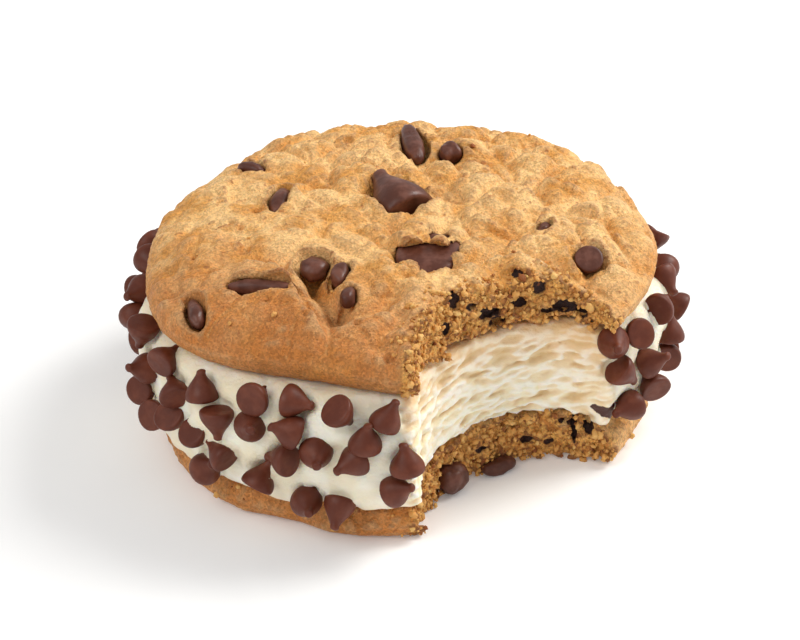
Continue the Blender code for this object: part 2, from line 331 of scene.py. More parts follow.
def beside(corners, places):
    """How far places lie from a line through the corners, positive to its left, and how far
    along it, as a share of its length."""
    line = smooth_line(corners)
    lengths = np.linalg.norm(np.diff(line, axis=0), axis=1)
    starts = np.cumsum(lengths) - lengths
    best = np.full(len(places), 1e9)
    side = np.zeros(len(places))
    share = np.zeros(len(places))
    for start, end, length, before in zip(line, line[1:], lengths, starts):
        run = (end - start) / length
        away = places[:, :2] - start
        forward = np.clip(away @ run, 0, length)
        off = np.linalg.norm(away - forward[:, None] * run, axis=1)
        nearer = off < best
        best = np.where(nearer, off, best)
        side = np.where(nearer, run[0] * away[:, 1] - run[1] * away[:, 0], side)
        share = np.where(nearer, (before + forward) / lengths.sum(), share)
    return np.where(side < 0, -best, best), share


def fade_ends(share, ends=0.22):
    return step_up(share, 0, ends) * step_up(1 - share, 0, ends)


def bite_depth(places):
    """Distance from the bite's line, positive in the food and negative in the bite."""
    return beside(BITE_LINE, places)[0]


# ---------------------------------------------------------------- the top cookie's relief

# Steps, where the dough on one side stands above the other: the height of the step, how far
# it reaches on the high and on the low side, and a line with the high side on its left. A
# negative height puts the high side on its right.
STEPS = (
    (3.8, 8.0, 6.0, (
        (-9.5, -34.6), (-12.4, -31.6), (-14.9, -26.0), (-16.6, -21.3),
        (-18.6, -17.6), (-21.8, -15.0), (-24.2, -10.2),
    )),
    (1.9, 3.0, 3.0, ((-23.6, -9.4), (-25.5, -6.6), (-27.3, -5.4), (-29.4, -4.9))),
    (-2.2, 3.0, 4.0, ((-13.8, -22.6), (-17.5, -21.3), (-20.6, -20.6), (-23.7, -20.0), (-27.0, -19.8))),
    (2.3, 4.0, 2.4, ((-0.9, -1.4), (-2.9, 3.2), (-5.2, 7.4), (-6.4, 12.4))),
    (2.2, 4.0, 2.4, ((7.6, 6.6), (4.4, 2.0), (1.5, 0.2), (-0.9, -1.4))),
    (-1.5, 4.0, 3.0, ((-8.3, 15.0), (-5.9, 19.0), (-2.1, 22.2), (1.0, 22.8), (3.5, 20.2), (5.2, 14.8))),
    (2.8, 4.5, 2.0, (
        (-3.4, -7.0), (-0.4, -9.6), (0.9, -11.6), (2.6, -13.2),
        (5.2, -14.1), (7.5, -15.2), (10.6, -16.2),
    )),
    (2.1, 4.5, 1.6, (
        (16.1, -17.0), (12.9, -17.8), (9.8, -18.2), (6.6, -19.2),
        (3.5, -19.2), (0.7, -17.8), (-1.2, -15.0), (-2.2, -11.4),
    )),
    (2.0, 4.0, 4.0, (
        (24.0, -0.6), (23.1, 4.1), (22.4, 7.8), (20.0, 9.9),
        (16.8, 12.1), (15.4, 15.2), (12.0, 17.0), (6.0, 16.6),
    )),
    (1.4, 3.0, 3.0, ((32.6, 6.8), (29.0, 8.6), (25.9, 11.0), (23.4, 15.4))),
    (2.0, 4.0, 3.5, (
        (38.4, -10.2), (36.5, -6.9), (33.6, -4.7), (30.3, -4.9),
        (27.8, -2.7), (25.0, 0.6), (21.6, 1.0),
    )),
    (1.6, 3.0, 3.0, ((26.4, -6.6), (24.0, -8.0), (20.4, -9.2), (18.0, -10.2), (17.6, -12.6))),
    (1.5, 3.0, 3.0, ((26.0, -19.5), (22.6, -16.4), (19.3, -14.6), (15.6, -15.8))),
    (1.5, 4.0, 3.0, ((-9.0, 0.4), (-13.0, 3.2), (-15.6, 8.0), (-14.0, 12.6), (-9.6, 14.2))),
    (1.3, 3.0, 3.0, ((-2.6, -4.6), (-6.4, -4.0), (-10.2, -5.6), (-12.8, -8.4))),
    (1.4, 4.0, 2.5, ((-24.0, 5.0), (-27.4, 9.0), (-27.6, 14.4), (-25.0, 18.4))),
    (-1.2, 3.0, 3.0, ((-4.0, -36.4), (0.0, -33.6), (1.6, -30.0), (4.6, -26.8))),
)
# Valleys: how deep and how wide each side, and a line.
VALLEYS = (
    (3.8, 1.8, ((-14.6, -11.4), (-13.0, -17.6), (-10.4, -24.4), (-8.6, -30.0), (-7.4, -33.4))),
    (1.6, 1.5, ((-9.0, -29.6), (-5.9, -29.4), (-3.0, -28.0), (-0.2, -25.2), (3.0, -23.4))),
    (1.5, 1.8, ((4.6, 7.2), (7.5, 6.0), (10.6, 5.6), (13.6, 6.8))),
    (0.9, 2.2, ((0.8, 35.0), (2.6, 29.0), (4.4, 22.6), (6.0, 17.4))),
    (1.3, 1.0, ((-1.2, -1.4), (-0.3, -4.6), (-1.2, -8.4))),
    (1.1, 0.7, ((-20.4, -5.6), (-18.4, -4.2), (-16.0, -4.1), (-13.6, -5.6))),
    (0.8, 0.5, ((-25.0, -25.0), (-28.4, -26.8), (-29.6, -29.4))),
    (0.7, 1.3, ((-37.0, -4.0), (-35.6, -14.0), (-33.0, -24.0), (-26.0, -33.0))),
    (0.7, 1.4, ((-34.0, 12.0), (-27.0, 25.0), (-14.0, 34.0), (0.0, 37.0))),
    (1.3, 1.4, ((27.4, -16.8), (31.0, -18.2), (34.4, -16.6))),
    (1.2, 1.3, ((-4.4, -36.4), (-1.6, -37.0), (0.6, -34.8))),
    (0.9, 0.5, ((-4.0, -44.0), (-2.2, -42.6), (-0.6, -41.0))),
    (1.3, 1.5, ((18.6, 4.6), (17.4, 1.2), (14.2, -2.2))),
    (0.9, 0.9, ((8.6, -3.0), (12.4, -5.6), (17.0, -6.4), (21.0, -5.0))),
    (0.9, 0.8, ((-3.0, 30.0), (-8.0, 26.4), (-14.0, 25.0))),
    (0.8, 0.7, ((20.0, 22.0), (25.0, 20.6), (29.4, 15.8))),
)
# Pits that the baked chips lie in, as ellipses in plan: middle, half length and half width,
# heading in degrees and depth.
PITS = (
    (0.9, 7.0, 7.4, 4.3, 119, 0.9),
    (3.6, 26.0, 8.0, 1.6, 100, 0.8),
    (9.8, 22.6, 2.4, 2.3, 90, 0.6),
    (-24.0, 21.4, 2.9, 1.1, -30, 0.9),
    (-18.9, 7.8, 4.4, 1.8, 78, 1.5),
    (-13.3, -14.4, 3.6, 3.0, 90, 1.8),
    (-9.1, -17.6, 3.2, 1.9, 80, 1.6),
    (-21.2, -22.1, 5.3, 1.1, -9, 1.0),
    (-31.6, -22.8, 4.2, 1.7, -78, 1.8),
    (-7.9, -25.0, 2.2, 1.5, 80, 0.9),
    (30.2, -14.0, 3.2, 2.9, 70, 1.3),
    (23.9, -5.4, 1.6, 1.4, 90, 1.8),
)
# Small holes: x, y, radius and depth.
HOLES = (
    (-18.2, -14.6, 0.8, 2.2),
    (-29.1, 8.9, 0.7, 1.4),
    (-32.3, -8.8, 0.5, 1.4),
    (-33.3, -19.6, 0.5, 1.4),
    (-26.5, 0.3, 0.5, 1.3),
    (-25.2, -1.2, 0.6, 1.4),
    (-22.4, 4.1, 1.0, 2.1),
    (-7.5, 29.2, 0.8, 1.5),
    (-12.4, -39.0, 0.6, 1.8),
    (32.2, 0.2, 0.6, 1.2),
    (-24.4, -9.0, 1.1, 1.6),
    (-20.4, -26.0, 0.5, 1.1),
    (-16.0, -36.5, 0.6, 1.4),
    (-6.6, -32.2, 0.6, 1.5),
    (13.4, -8.6, 0.5, 1.0),
    (15.8, 3.4, 0.5, 1.0),
    (36.6, 8.4, 0.5, 1.0),
    (-12.0, 11.0, 0.6, 1.0),
    (-2.0, -38.4, 0.7, 1.8),
    (8.0, 33.0, 0.5, 1.0),
    (27.4, -10.8, 0.6, 1.2),
    (-14.2, -30.4, 0.6, 1.2),
    (-3.6, -41.4, 0.8, 1.4),
)


def pillows(places, pitch, seed):
    """Soft mounds with sharp creases between them, 0 in a crease and 1 on a mound."""
    bend = np.stack([smooth_noise(places, 1.3 * pitch, seed + i) for i in (1, 2, 3)], axis=1)
    first, gap, _ = cells(places + 0.35 * pitch * bend, pitch, seed)
    return (1 - np.exp(-4.6 * gap)) * (1 - 0.45 * first**2)


def pits(places):
    """How deep the chips' pits are at places in plan, with ragged edges."""
    ragged = 0.16 * smooth_noise(places, 1.7, 15) + 0.12 * smooth_noise(places, 4.0, 16)
    depth = np.zeros(len(places))
    for x, y, half_length, half_width, heading, deep in PITS:
        turn = math.radians(heading)
        dx, dy = places[:, 0] - x, places[:, 1] - y
        along = (dx * math.cos(turn) + dy * math.sin(turn)) / half_length
        across = (dy * math.cos(turn) - dx * math.sin(turn)) / half_width
        depth = np.maximum(depth, deep * (1 - step_up(np.hypot(along, across) + ragged, 0.82, 1.12)))
    return depth


def dough_lift(places):
    """How far the top cookie's dough rises or sinks at places in plan."""
    bent = places + 0.5 * np.stack([smooth_noise(places, 3.0, 17 + i) for i in range(3)], axis=1)
    lift = -pits(places)
    for height, reach_high, reach_low, corners in STEPS:
        side, share = beside(corners, bent)
        reach = np.where(side * height > 0, reach_high, reach_low)
        lift += 0.5 * height * np.tanh(side / 0.4) * np.exp(-np.abs(side) / reach) * fade_ends(share)
    for depth, width, corners in VALLEYS:
        side, share = beside(corners, bent)
        lift -= depth * np.exp(-((side / width) ** 2)) * fade_ends(share, 0.3)
    for x, y, radius, depth in HOLES:
        away = np.hypot(bent[:, 0] - x, bent[:, 1] - y)
        lift -= depth * np.exp(-((away / radius) ** 4))
    lumpy = step_up(places[:, 0] + 0.4 * places[:, 1] + 6 * smooth_noise(places, 17, 5), -24, 4)
    lift += (1.0 + 1.1 * lumpy) * (pillows(places, 9.5, 11) - 0.6)
    lift += (0.6 + 0.45 * lumpy) * (pillows(places, 4.8, 21) - 0.6)
    lift += (0.10 + 0.15 * lumpy) * (pillows(places, 2.1, 31) - 0.6)
    return lift


def column_tops(space, distance):
    """The height of the highest surface in each column, and whether there is one."""
    inside = distance < 0
    top = inside.shape[2] - 1 - inside[:, :, ::-1].argmax(axis=2)
    top = np.minimum(top, inside.shape[2] - 2)[:, :, None]
    here = np.take_along_axis(distance, top, axis=2)[:, :, 0]
    above = np.take_along_axis(distance, top + 1, axis=2)[:, :, 0]
    height = (space.low[2] + top[:, :, 0] + here / (here - above - 1e-9)) * space.voxel
    return height, inside.any(axis=2)


def healed(heights, holes, rounds=900):
    """A map whose holes are filled by the smoothest surface through their edges."""
    filled = heights.copy()
    filled[holes] = heights[~holes].mean()
    for _ in range(rounds):
        around = sum(np.roll(filled, turn, axis) for turn in (-1, 1) for axis in (0, 1)) / 4
        filled[holes] = around[holes]
    return filled


def raise_columns(space, distance, lift, low, high):
    """Lifts what is above height high by lift mm; nothing below height low moves."""
    level = np.arange(space.shape[2])
    moving = step_up(space.heights(), low, high)
    source = level - lift[:, :, None] * moving / space.voxel
    source = np.clip(source, 0, space.shape[2] - 1.001)
    floor = source.astype(int)
    part = (source - floor).astype(np.float32)
    lower = np.take_along_axis(distance, floor, axis=2)
    upper = np.take_along_axis(distance, floor + 1, axis=2)
    return lower * (1 - part) + upper * part


# Pockets and cracks in the two bitten walls, painted near black as shade, seen from the front: x, height,
# half width, half height and depth.
POCKETS = (
    (14.1, 29.0, 1.5, 1.1, 1.5),
    (15.2, 26.8, 1.2, 0.8, 1.2),
    (17.8, 33.9, 1.5, 0.7, 1.1),
    (18.8, 29.2, 1.2, 0.8, 1.3),
    (21.9, 31.7, 1.0, 1.2, 0.8),
    (23.1, 27.4, 1.0, 0.6, 1.2),
    (26.0, 28.0, 1.7, 1.1, 1.6),
    (28.6, 27.5, 0.9, 0.8, 1.3),
    (31.9, 30.4, 1.2, 0.6, 1.1),
    (28.2, 32.6, 1.1, 0.7, 0.8),
    (8.4, 33.2, 0.9, 1.1, 0.9),
    (7.0, 29.6, 0.6, 1.0, 1.0),
    (11.0, 31.4, 0.8, 0.5, 0.8),
    (27.3, 5.6, 0.5, 1.9, 1.5),
    (26.2, 7.0, 1.3, 0.5, 1.3),
    (29.5, 6.0, 0.7, 1.4, 1.3),
    (19.6, 4.0, 1.0, 0.7, 0.9),
    (11.9, 4.6, 0.9, 0.6, 0.9),
    (23.0, 3.0, 0.9, 0.5, 0.8),
)


def pockets(places):
    """How deep the pockets are at places on a bitten wall; the material paints them near black by this depth,
    as shade.
    """
    ragged = 0.30 * smooth_noise(places, 1.1, 91) + 0.20 * smooth_noise(places, 0.6, 92)
    depth = np.zeros(len(places))
    for x, height, half_width, half_height, deep in POCKETS:
        away = np.hypot((places[:, 0] - x) / half_width, (places[:, 2] - height) / half_height)
        depth = np.maximum(depth, deep * (1 - step_up(away + ragged, 0.85, 1.4)))
    return depth


def crumble(places, seed):
    """The broken face of a bitten cookie: clumps, grains and pores, in mm out or in."""
    bend = 0.5 * np.stack([smooth_noise(places, 1.6, seed + 5 + i) for i in range(3)], axis=1)
    clumps, _, clump_size = cells(places + bend, 3.4, seed)
    grains, _, grain_size = cells(places + bend, 1.3, seed + 1)
    pores, _, pore_size = cells(places + bend, 2.1, seed + 2)
    depth = 1.3 * (0.45 - clumps) + 0.7 * (clump_size - 0.5)
    depth += 0.7 * (0.4 - grains) + 0.5 * (grain_size - 0.5)
    depth -= 1.9 * np.clip(0.55 - pores, 0, 1) * (pore_size > 0.45)
    return depth + 0.25 * rough_noise(places, 0.9, seed + 8, 2)


def sculpt_top_cookie(chips):
    """The top cookie round its baked chips, which chips gives as (points, faces)."""
    points, faces = surface_of(["top_cookie"])
    space = Volume("top_cookie", points)
    solid = space.distances(points, faces)
    sockets = space.distances(*surface_of(TOP_CHIP_NODES))
    tops, covered = column_tops(space, solid)
    holes = covered & (sockets < 1.0).any(axis=2)
    tops = healed(tops, holes)
    level = space.heights()[None, None, :]
    solid = np.minimum(solid, np.maximum(sockets - 0.8, level - tops[:, :, None]))
    lift = dough_lift(space.plan()).reshape(space.shape[:2])
    solid = raise_columns(space, solid, lift, TOP_WAIST - 2, TOP_WAIST + 2)
    chip = space.distances(*chips)
    near = np.abs(solid) < 3
    places = space.places(near)
    from_chip = chip[near]
    gap = 0.12 + 0.4 * smooth_noise(places, 2.2, 41)
    lip = 0.3 * np.exp(-(((from_chip - 1.3) / 0.8) ** 2))
    solid[near] = np.maximum(solid[near] - lip, np.clip(gap, 0.02, 0.45) - from_chip)
    broken_face(space, solid, 51)

    def grain(places):
        return 0.10 * rough_noise(places, 2.4, 61, 2) + 0.05 * rough_noise(places, 1.1, 65, 2)

    add_relief(space, solid, grain, 0.4)
    return space, solid, chip


def broken_face(space, solid, seed):
    """Crumbles the wall that the bite leaves."""
    near = np.abs(solid) < 2.6
    places = space.places(near)
    off = np.abs(bite_depth(places))
    close = off < 3.2
    places, off = places[close], off[close]
    wall = 1 - step_up(off, 0.9, 2.8)
    change = np.zeros(len(close), np.float32)
    change[close] = wall * crumble(places, seed) - pockets(places) * (off < 2.9)
    solid[near] -= change


def finish_cookie(name, space, solid, chip, hidden_height, hidden_above):
    """Turns a cookie's volume into an object, with what its material needs to know, and
    also returns where crumbs can lie on it: points, normals and how bitten they are."""
    points, faces = space.skin(solid)
    normals = normals_of(points, faces)
    places = points.astype(np.float32)
    points = points + normals * (0.06 * smooth_noise(places, 0.75, 71))[:, None]
    broad = hollowness(points, faces, normals, 40)
    fine = hollowness(points, faces, normals, 5)
    low, high = points[:, 2].min(), points[:, 2].max()
    bite = 1 - step_up(np.abs(bite_depth(places)), 1.4, 3.0)
    bite *= step_up(1 - np.abs(normals[:, 2]), 0.15, 0.5)
    bite = smoothed(bite[:, None], faces, 3)[:, 0]
    layers = {
        # hollow and pit also drive painted shade and highlight in the material: deep hollows and small pits
        # painted brown, small bumps painted pale
        "hollow": np.clip(0.5 + 0.6 * broad, 0, 1),
        "pit": np.clip(0.5 + 3.0 * fine, 0, 1),
        "bite": bite,
        "pocket": np.where(bite > 0.05, pockets(places), 0),
        "rise": (points[:, 2] - low) / (high - low),
        # browner towards the front left: partly real baking, partly painted shade on the side away from the
        # lamps
        "toast_and_shade": step_up(points[:, 0] * TOAST_AND_SHADE_WAY[0] + points[:, 1] * TOAST_AND_SHADE_WAY[1], 7, 42),
        "chip": np.exp(-np.clip(space.sample(chip, places), 0, 9) / 0.7),
    }
    made = new_object(name, points, faces, MATERIALS["cookie"], layers)
    level = points[:, 2]
    hidden = (level > hidden_height) if hidden_above else (level < hidden_height)
    hidden &= np.hypot(points[:, 0], points[:, 1]) < 36
    hidden &= bite_depth(places) > 3.5
    thin_out(made, hidden, 0.1)
    return made, (points, normals, bite)


def sculpt_bottom_cookie(chips):
    points, faces = surface_of(["bottom_cookie"])
    space = Volume("bottom_cookie", points)
    solid = space.distances(points, faces)
    chip = space.distances(*chips)
    broken_face(space, solid, 151)

    def lumps(places):
        swell = 0.6 * (pillows(places, 4.2, 131) - 0.6) + 0.35 * (pillows(places, 1.7, 133) - 0.6)
        swell += 0.25 * rough_noise(places, 2.4, 141, 3)
        return swell * step_up(places[:, 2], 0.5, 2.2)

    add_relief(space, solid, lumps, 0.9)
    floor = -space.heights()[None, None, :]
    solid = np.maximum(solid, floor)
    return space, solid, chip


# ---------------------------------------------------------------- crumbs

CRUMB_PITCH = 0.9  # about how far apart crumbs lie on a bitten wall
CRUMB_SHARE = 0.16  # the chance that a point of the wall carries one
CRUMB_RADIUS = 0.28


def ball():
    """A ball of 80 triangles."""
    made = bmesh.new()
    bmesh.ops.create_icosphere(made, subdivisions=2, radius=1.0)
    points = np.array([vert.co[:] for vert in made.verts])
    faces = np.array([[vert.index for vert in face.verts] for face in made.faces])
    made.free()
    return points, faces


def turns_at_random(rng, count):
    """Rotation matrices that point every way alike."""
    parts = rng.normal(size=(4, count))
    a, b, c, d = parts / np.linalg.norm(parts, axis=0)
    rows = (
        (1 - 2 * (c * c + d * d), 2 * (b * c - a * d), 2 * (b * d + a * c)),
        (2 * (b * c + a * d), 1 - 2 * (b * b + d * d), 2 * (c * d - a * b)),
        (2 * (b * d - a * c), 2 * (c * d + a * b), 1 - 2 * (b * b + c * c)),
    )
    return np.array(rows).transpose(2, 0, 1)


def scattered(rng, points, chance, pitch):
    """Indices of points, at most one to a cell of a grid of that pitch."""
    chosen = np.flatnonzero(rng.random(len(points)) < chance)
    rng.shuffle(chosen)
    cell = np.floor(points[chosen] / pitch).astype(int)
    _, first = np.unique(cell, axis=0, return_index=True)
    return chosen[first]


def crumbs_on(wall, seed, edge):
    """Crumbs stuck all over a bitten wall, and a few where edge(points) says: points, faces
    and a tone per point, from 0 for brown to 1 for pale."""
    points, normals, bite = wall
    rng = np.random.default_rng(seed)
    shape, corners = ball()
    hole = np.clip(pockets(points.astype(np.float32)) / 0.4, 0, 1) * (bite > 0.05)
    chance = CRUMB_SHARE * np.clip(1.2 * bite - 0.15, 0, 1) + edge(points)
    at = scattered(rng, points, chance * (1 - hole), CRUMB_PITCH)
    count = len(at)
    size = CRUMB_RADIUS * rng.lognormal(0, 0.42, count)
    size = np.clip(size, 0.18, 0.6)
    stretch = rng.uniform(0.6, 1.25, (count, 1, 3))
    flakes = rng.random(count) < 0.02
    stretch[flakes] *= np.array([0.5, 1.0, 2.2])
    bumpy = 1 + 0.20 * rng.normal(size=(count, len(shape), 1))
    turns = turns_at_random(rng, count)
    made = np.einsum("nij,nkj->nki", turns, shape[None] * stretch * bumpy) * size[:, None, None]
    sunk = rng.uniform(-0.9, -0.1, count) * size
    made += (points[at] + normals[at] * sunk[:, None])[:, None]
    made[:, :, 2] = np.maximum(made[:, :, 2], 0.02)
    # crumbs in pockets are painted darker, as shade
    tone = np.clip(rng.beta(2.2, 2.0, count) + 0.2 * flakes - 0.8 * hole[at], 0, 1)
    faces = corners[None] + (np.arange(count) * len(shape))[:, None, None]
    return made.reshape(-1, 3), faces.reshape(-1, 3), np.repeat(tone, len(shape))


# ---------------------------------------------------------------- chocolate chips

# A small chip, from its flat base to its tip: shares of its height and of its radius.
DROP_PROFILE = (
    (0.0, 0.80),
    (0.003, 0.92),
    (0.03, 0.98),
    (0.09, 1.0),
    (0.18, 0.985),
    (0.28, 0.92),
    (0.39, 0.80),
    (0.49, 0.67),
    (0.59, 0.53),
    (0.68, 0.41),
    (0.75, 0.33),
    (0.81, 0.285),
    (0.87, 0.275),
    (0.92, 0.27),
    (0.96, 0.22),
    (0.99, 0.12),
)
DROP_SIDES = 26
SMALL_DROP = (5.1, 2.55)  # height and radius
CURL_START = 0.60  # share of the height where the tip starts to lean

SIDE_CHIP_NODES = sorted(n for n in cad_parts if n.startswith("side_chip"))
BAKED_CHIP_NODES = sorted(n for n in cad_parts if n.startswith("baked_chip"))
BOTTOM_CHIP_NODES = [n for n in BAKED_CHIP_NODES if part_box(n)[1][2] / MM < BOTTOM_CROWN]
TOP_CHIP_NODES = [n for n in BAKED_CHIP_NODES if n not in BOTTOM_CHIP_NODES]


def drop(rng, height, radius):
    """A chocolate drop standing on its base at height 0, a little out of true."""
    turns = 2 * np.pi * np.arange(DROP_SIDES) / DROP_SIDES
    curl = rng.uniform(0.25, 1.0)
    lean = rng.uniform(0, 2 * np.pi)
    oval = rng.uniform(-0.05, 0.05)
    rings = []
    for up, out in DROP_PROFILE:
        bend = curl * 0.2 * radius * max(0.0, (up - CURL_START) / (1 - CURL_START)) ** 1.6
        wobble = 1 + oval * np.cos(2 * turns + lean) + 0.012 * np.cos(3 * turns - lean) * (up < 0.5)
        x = radius * out * wobble * np.cos(turns) + bend * np.cos(lean)
        y = radius * out * wobble * np.sin(turns) + bend * np.sin(lean)
        sag = 0.05 * height * curl * max(0.0, up - 0.8) / 0.2
        rings.append(np.stack([x, y, np.full(DROP_SIDES, up * height - sag)], axis=1))
    tip = np.array([[rings[-1][:, 0].mean(), rings[-1][:, 1].mean(), height * (1 - 0.05 * curl)]])
    points = np.concatenate([[[0, 0, 0]], *rings, tip])
    return points, ring_faces(len(rings), DROP_SIDES)


def ring_faces(rings, sides):
    """Triangles over rings of points, with one point before them and one after."""
    faces = []
    last = 1 + rings * sides
    for i in range(sides):
        after = (i + 1) % sides
        faces.append((0, 1 + after, 1 + i))
        faces.append((last, last - sides + i, last - sides + after))
        for ring in range(rings - 1):
            a, b = 1 + ring * sides + i, 1 + ring * sides + after
            faces.append((a, b, b + sides))
            faces.append((a, b + sides, a + sides))
    return np.array(faces)


def posed(shape, middle, axis, turn=0.0):
    """A shape whose own +Z is turned to axis, and whose origin goes to middle."""
    points, faces = shape
    rotation = Vector(axis).to_track_quat("Z", "Y").to_matrix() @ Matrix.Rotation(turn, 3, "Z")
    return points @ np.array(rotation).T + np.array(middle), faces


def node_drop_pose(name):
    """Where the base of a side chip's node is, and which way its tip points."""
    points, _ = surface_of([name])
    middle = points.mean(axis=0)
    tip = points[np.linalg.norm(points - middle, axis=1).argmax()]
    axis = (tip - middle) / np.linalg.norm(tip - middle)
    return tip - SMALL_DROP[0] * axis, axis


def side_map():
    """The radius of the ice cream's side by azimuth (rows, one a degree) and height (columns,
    two a mm), with the sockets of the chips filled in."""
    points, faces = surface_of(["ice_cream"])
    tree = BVHTree.FromPolygons(points.tolist(), faces.tolist())
    chips = BVHTree.FromPolygons(*(part.tolist() for part in surface_of(SIDE_CHIP_NODES)))
    azimuths = np.radians(np.arange(-180, 180))
    heights = np.arange(0, 2 * ICE_TOP) / 2
    radius = np.zeros((len(azimuths), len(heights)))
    holes = np.zeros(radius.shape, bool)
    for i, azimuth in enumerate(azimuths):
        way = Vector((math.cos(azimuth), math.sin(azimuth), 0))
        for j, height in enumerate(heights):
            start = 60 * way + Vector((0, 0, height))
            hit = tree.ray_cast(start, -way)[0]
            radius[i, j] = hit.to_2d().length if hit else 0
            if hit:
                holes[i, j] = chips.find_nearest(hit, 1.0)[0] is not None
    holes |= radius < 30
    return healed(radius, holes, 300)


def side_radius(side, azimuth, height):
    """The radius that a side map holds at azimuths in radians and heights in mm."""
    row = np.mod(np.degrees(azimuth) + 180, 360)
    column = np.clip(2 * height, 0, side.shape[1] - 1.001)
    i, j = np.floor(row).astype(int) % 360, np.floor(column).astype(int)
    p, q = row - np.floor(row), column - j
    near = side[i, j] * (1 - q) + side[i, j + 1] * q
    after = (i + 1) % 360
    far = side[after, j] * (1 - q) + side[after, j + 1] * q
    return near * (1 - p) + far * p


BACK_CHIPS = 60  # chips pressed in where the nodes leave the ice cream bare
BACK_AZIMUTHS = (-14, 172)
BACK_HEIGHTS = (8.5, 23.0)
CHIP_SPACING = 5.0


def mini_chips(side):
    """Every chip on the ice cream's side: those of the nodes, and more round the back."""
    rng = np.random.default_rng(7)
    shapes, middles = [], []
    for name in SIDE_CHIP_NODES:
        base, axis = node_drop_pose(name)
        shape = drop(rng, SMALL_DROP[0] * rng.uniform(0.96, 1.04), SMALL_DROP[1] * rng.uniform(0.97, 1.06))
        shapes.append(posed(shape, base, axis, rng.uniform(0, 6.28)))
        middles.append(base + 0.4 * SMALL_DROP[0] * axis)
    tries = 0
    while len(shapes) < len(SIDE_CHIP_NODES) + BACK_CHIPS and tries < 4000:
        tries += 1
        azimuth = math.radians(rng.uniform(*BACK_AZIMUTHS))
        height = rng.uniform(*BACK_HEIGHTS)
        turn, lift = rng.uniform(0, 2 * math.pi), math.radians(rng.choice((-60, -30, 0, 10, 20, 30, 60)))
        out = np.array([math.cos(azimuth), math.sin(azimuth), 0])
        along = np.array([-math.sin(azimuth), math.cos(azimuth), 0])
        flat = math.cos(turn) * along + math.sin(turn) * np.array([0, 0, 1])
        axis = math.cos(lift) * flat + math.sin(lift) * out
        radius = float(side_radius(side, np.array([azimuth]), np.array([height]))[0])
        middle = (radius + 0.9 + 0.6 * abs(math.sin(lift))) * out + np.array([0, 0, height])
        if middles and np.linalg.norm(np.array(middles) - middle, axis=1).min() < CHIP_SPACING:
            continue
        shape = drop(rng, SMALL_DROP[0] * rng.uniform(0.94, 1.04), SMALL_DROP[1] * rng.uniform(0.94, 1.04))
        shapes.append(posed(shape, middle - 0.45 * SMALL_DROP[0] * axis, axis, rng.uniform(0, 6.28)))
        middles.append(middle)
    return joined(shapes)


def chunk(rng, sizes, flat=0.8, roughness=0.12):
    """A rounded piece of chocolate with its middle at the origin and its length along X; the
    smaller flat is, the flatter are its top and bottom."""
    sides, rings = 34, 17
    turns = 2 * np.pi * np.arange(sides) / sides
    rows = []
    for tilt in np.linspace(-np.pi / 2, np.pi / 2, rings + 2)[1:-1]:
        across = np.abs(np.cos(tilt)) ** flat
        up = np.sign(np.sin(tilt)) * np.abs(np.sin(tilt)) ** 0.9
        x = across * np.sign(np.cos(turns)) * np.abs(np.cos(turns)) ** 0.9
        y = across * np.sign(np.sin(turns)) * np.abs(np.sin(turns)) ** 0.9
        rows.append(np.stack([x, y, np.full(sides, up)], axis=1))
    points = np.concatenate([[[0, 0, -1]], *rows, [[0, 0, 1]]]) * np.array(sizes) / 2
    seed = int(rng.integers(1000))
    swell = 1 + roughness * smooth_noise(points, 0.45 * sizes[0], seed)
    swell += 0.3 * roughness * smooth_noise(points, 0.9, seed + 1)
    return points * swell[:, None], ring_faces(rings, sides)


def headed(shape, heading, nose, roll, middle):
    """A shape rolled about its own X, its X then raised by nose and turned to heading."""
    points, faces = shape
    turn = Matrix.Rotation(math.radians(heading), 3, "Z") @ Matrix.Rotation(math.radians(-nose), 3, "Y")
    turn = turn @ Matrix.Rotation(math.radians(roll), 3, "X")
    return points @ np.array(turn).T + middle, faces


def lying_drop(rng, height, radius):
    """A drop on its side, its tip along +X and its middle at the origin."""
    points, faces = drop(rng, height, radius)
    return points[:, [2, 0, 1]] - np.array([0.42 * height, 0, 0]), faces


# How each baked chip lies: what it is, its sizes along, across and up (for a drop its height
# and radius), heading, how far its nose is raised, its roll, and how far it is moved from its
# node's middle.
BAKED_LOOKS = {
    "baked_chip_01": ("drop", (12.0, 4.9), 119, 20, 0, (-1.2, 1.2, -0.3)),
    "baked_chip_02": ("disc", (10.6, 10.6, 2.6), -12, 0, 7, (0.3, 1.7, -1.3)),
    "baked_chip_03": ("chunk", (14.0, 3.6, 3.6), 97, 1, 0, (-0.9, 1.4, -0.7)),
    "baked_chip_04": ("chunk", (3.6, 4.4, 3.6), 30, 10, 0, (0, 0.3, -0.6)),
    "baked_chip_05": ("chunk", (5.8, 2.3, 2.8), -30, 3, 0, (0.2, -1.0, -0.3)),
    "baked_chip_06": ("chunk", (8.0, 3.5, 3.4), 78, 4, 0, (0.1, 0.4, -0.9)),
    "baked_chip_07": ("chunk", (4.8, 4.4, 3.2), 60, 0, 0, (0.0, 0.3, -1.2)),
    "baked_chip_08": ("chunk", (5.4, 2.8, 3.0), 80, 8, 0, (-0.2, 0.3, -0.9)),
    "baked_chip_09": ("chunk", (10.8, 2.2, 2.6), -9, -2, 0, (-0.4, 0.4, 0.0)),
    "baked_chip_10": ("chunk", (7.2, 2.4, 3.2), -78, 0, 0, (0.1, -0.2, -0.8)),
    "baked_chip_11": ("chunk", (3.8, 2.4, 2.8), 80, 0, 0, (0.2, 0.2, -0.9)),
    "baked_chip_12": ("drop", (4.8, 2.3), 95, -52, 0, (0, 0.3, -1.1)),
    "baked_chip_13": ("chunk", (3.0, 2.2, 2.4), 60, 0, 0, (0, 0, -0.6)),
    "baked_chip_14": ("chunk", (5.2, 4.8, 4.6), 40, 0, 0, (0, 0, -0.1)),
    "baked_chip_15": ("chunk", (5.8, 3.0, 2.5), 25, 0, 0, (0, 0, -0.3)),
}
FLATNESS = {"chunk": 0.75, "disc": 0.34}


